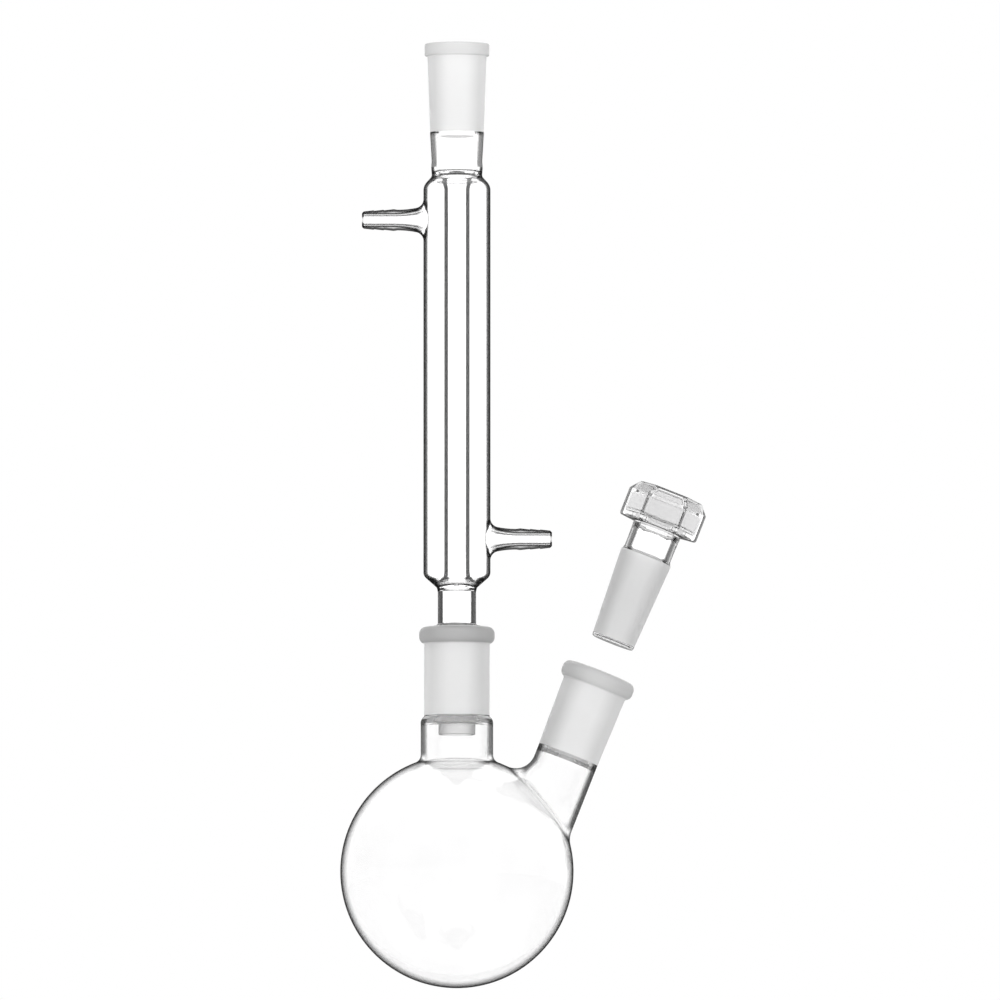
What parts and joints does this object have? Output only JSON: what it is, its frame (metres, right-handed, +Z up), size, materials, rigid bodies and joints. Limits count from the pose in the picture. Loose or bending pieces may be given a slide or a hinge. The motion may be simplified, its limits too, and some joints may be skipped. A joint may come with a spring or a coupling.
{
  "type": "liebig condenser",
  "caption": "Glass water-cooled condenser seated by a ground joint in a two-neck round-bottom flask, with a hollow stopper drawn out of the side neck.",
  "frame": {"origin": "lowest point of the flask's bulb, on the condenser's axis", "axes": "+Z up along the condenser's axis, +X towards the leaning side neck, and +Y to the back"},
  "size_m": [0.1646, 0.105, 0.426],
  "materials": {
    "clear_glass": "fire-polished clear borosilicate",
    "ground_glass": "fine ground, matte white"
  },
  "bodies": {
    "flask": {"flask_bulb": "clear_glass", "flask_shoulder": "clear_glass", "centre_neck": "clear_glass", "centre_socket": "ground_glass", "side_neck": "clear_glass", "side_socket": "ground_glass"},
    "condenser": {"condenser_top_socket": "ground_glass", "condenser_top_neck": "clear_glass", "upper_ring_seal": "clear_glass", "condenser_jacket": "clear_glass", "condenser_inner_tube": "clear_glass", "lower_ring_seal": "clear_glass", "condenser_stem": "clear_glass", "condenser_bottom_cone": "ground_glass", "condenser_drip_tip": "ground_glass", "water_outlet_barb": "clear_glass", "water_inlet_barb": "clear_glass"},
    "stopper": {"stopper_head": "clear_glass", "stopper_neck": "clear_glass", "stopper_cone": "ground_glass", "stopper_end": "clear_glass"}
  },
  "joints": [
    {"name": "condenser_lift", "type": "slide", "parent": "flask", "child": "condenser", "axis": [0, 0, 1], "range_m": [0, 0.075]},
    {"name": "stopper_pull", "type": "slide", "parent": "flask", "child": "stopper", "axis": [0.3665, 0, 0.9304], "range_m": [-0.0558, 0.03]}
  ]
}
